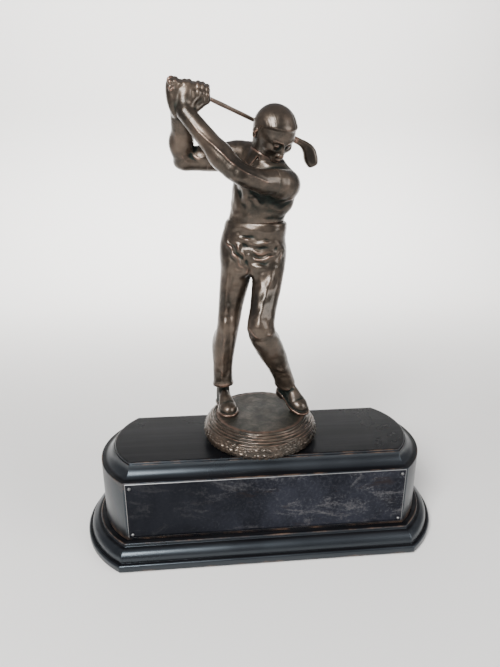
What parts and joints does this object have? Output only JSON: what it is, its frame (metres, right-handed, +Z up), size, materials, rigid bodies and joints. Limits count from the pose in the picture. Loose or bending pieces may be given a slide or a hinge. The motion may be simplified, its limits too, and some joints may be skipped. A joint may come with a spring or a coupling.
{
  "type": "golf trophy",
  "caption": "Bronze-finished golfer at the top of a backswing on a turf disc, fixed to a moulded black wooden plinth with a blank silver front plaque.",
  "frame": {"origin": "middle of the underside of the baize pad, on the surface the trophy stands on", "axes": "+Z up; -Y towards the front with the plaque; +X to the viewer's right, which is the golfer's left"},
  "size_m": [0.23, 0.0994, 0.2754],
  "materials": {
    "ebonised_wood": "ebonised and waxed, semi-gloss, worn to brown on the edges",
    "bronze_patina": "dark brown bronze wash over cast metal, satin, rubbed to copper brown on the high places",
    "tarnished_silver": "silver plate tarnished blue-black, mottled, satin",
    "silvered_pins": "dull silver plate",
    "zinc_hardware": "zinc plated, slightly dulled",
    "green_baize": "short felted pile"
  },
  "bodies": {
    "root": {"baize_pad": "green_baize", "base_board": "ebonised_wood", "plinth_block": "ebonised_wood", "base_screws": "zinc_hardware", "plaque": "tarnished_silver", "plaque_pins": "silvered_pins", "turf_disc": "bronze_patina", "hold_down_rod": "zinc_hardware", "hold_down_washer": "zinc_hardware", "hold_down_nut": "zinc_hardware", "foot_studs": "zinc_hardware", "foot_stud_washers": "zinc_hardware", "foot_stud_nuts": "zinc_hardware", "trousers_casting": "bronze_patina", "torso_casting": "bronze_patina", "head_casting": "bronze_patina", "right_arm_casting": "bronze_patina", "left_arm_casting": "bronze_patina", "hands_casting": "bronze_patina", "club_shaft": "bronze_patina", "club_head": "bronze_patina"}
  },
  "joints": []
}
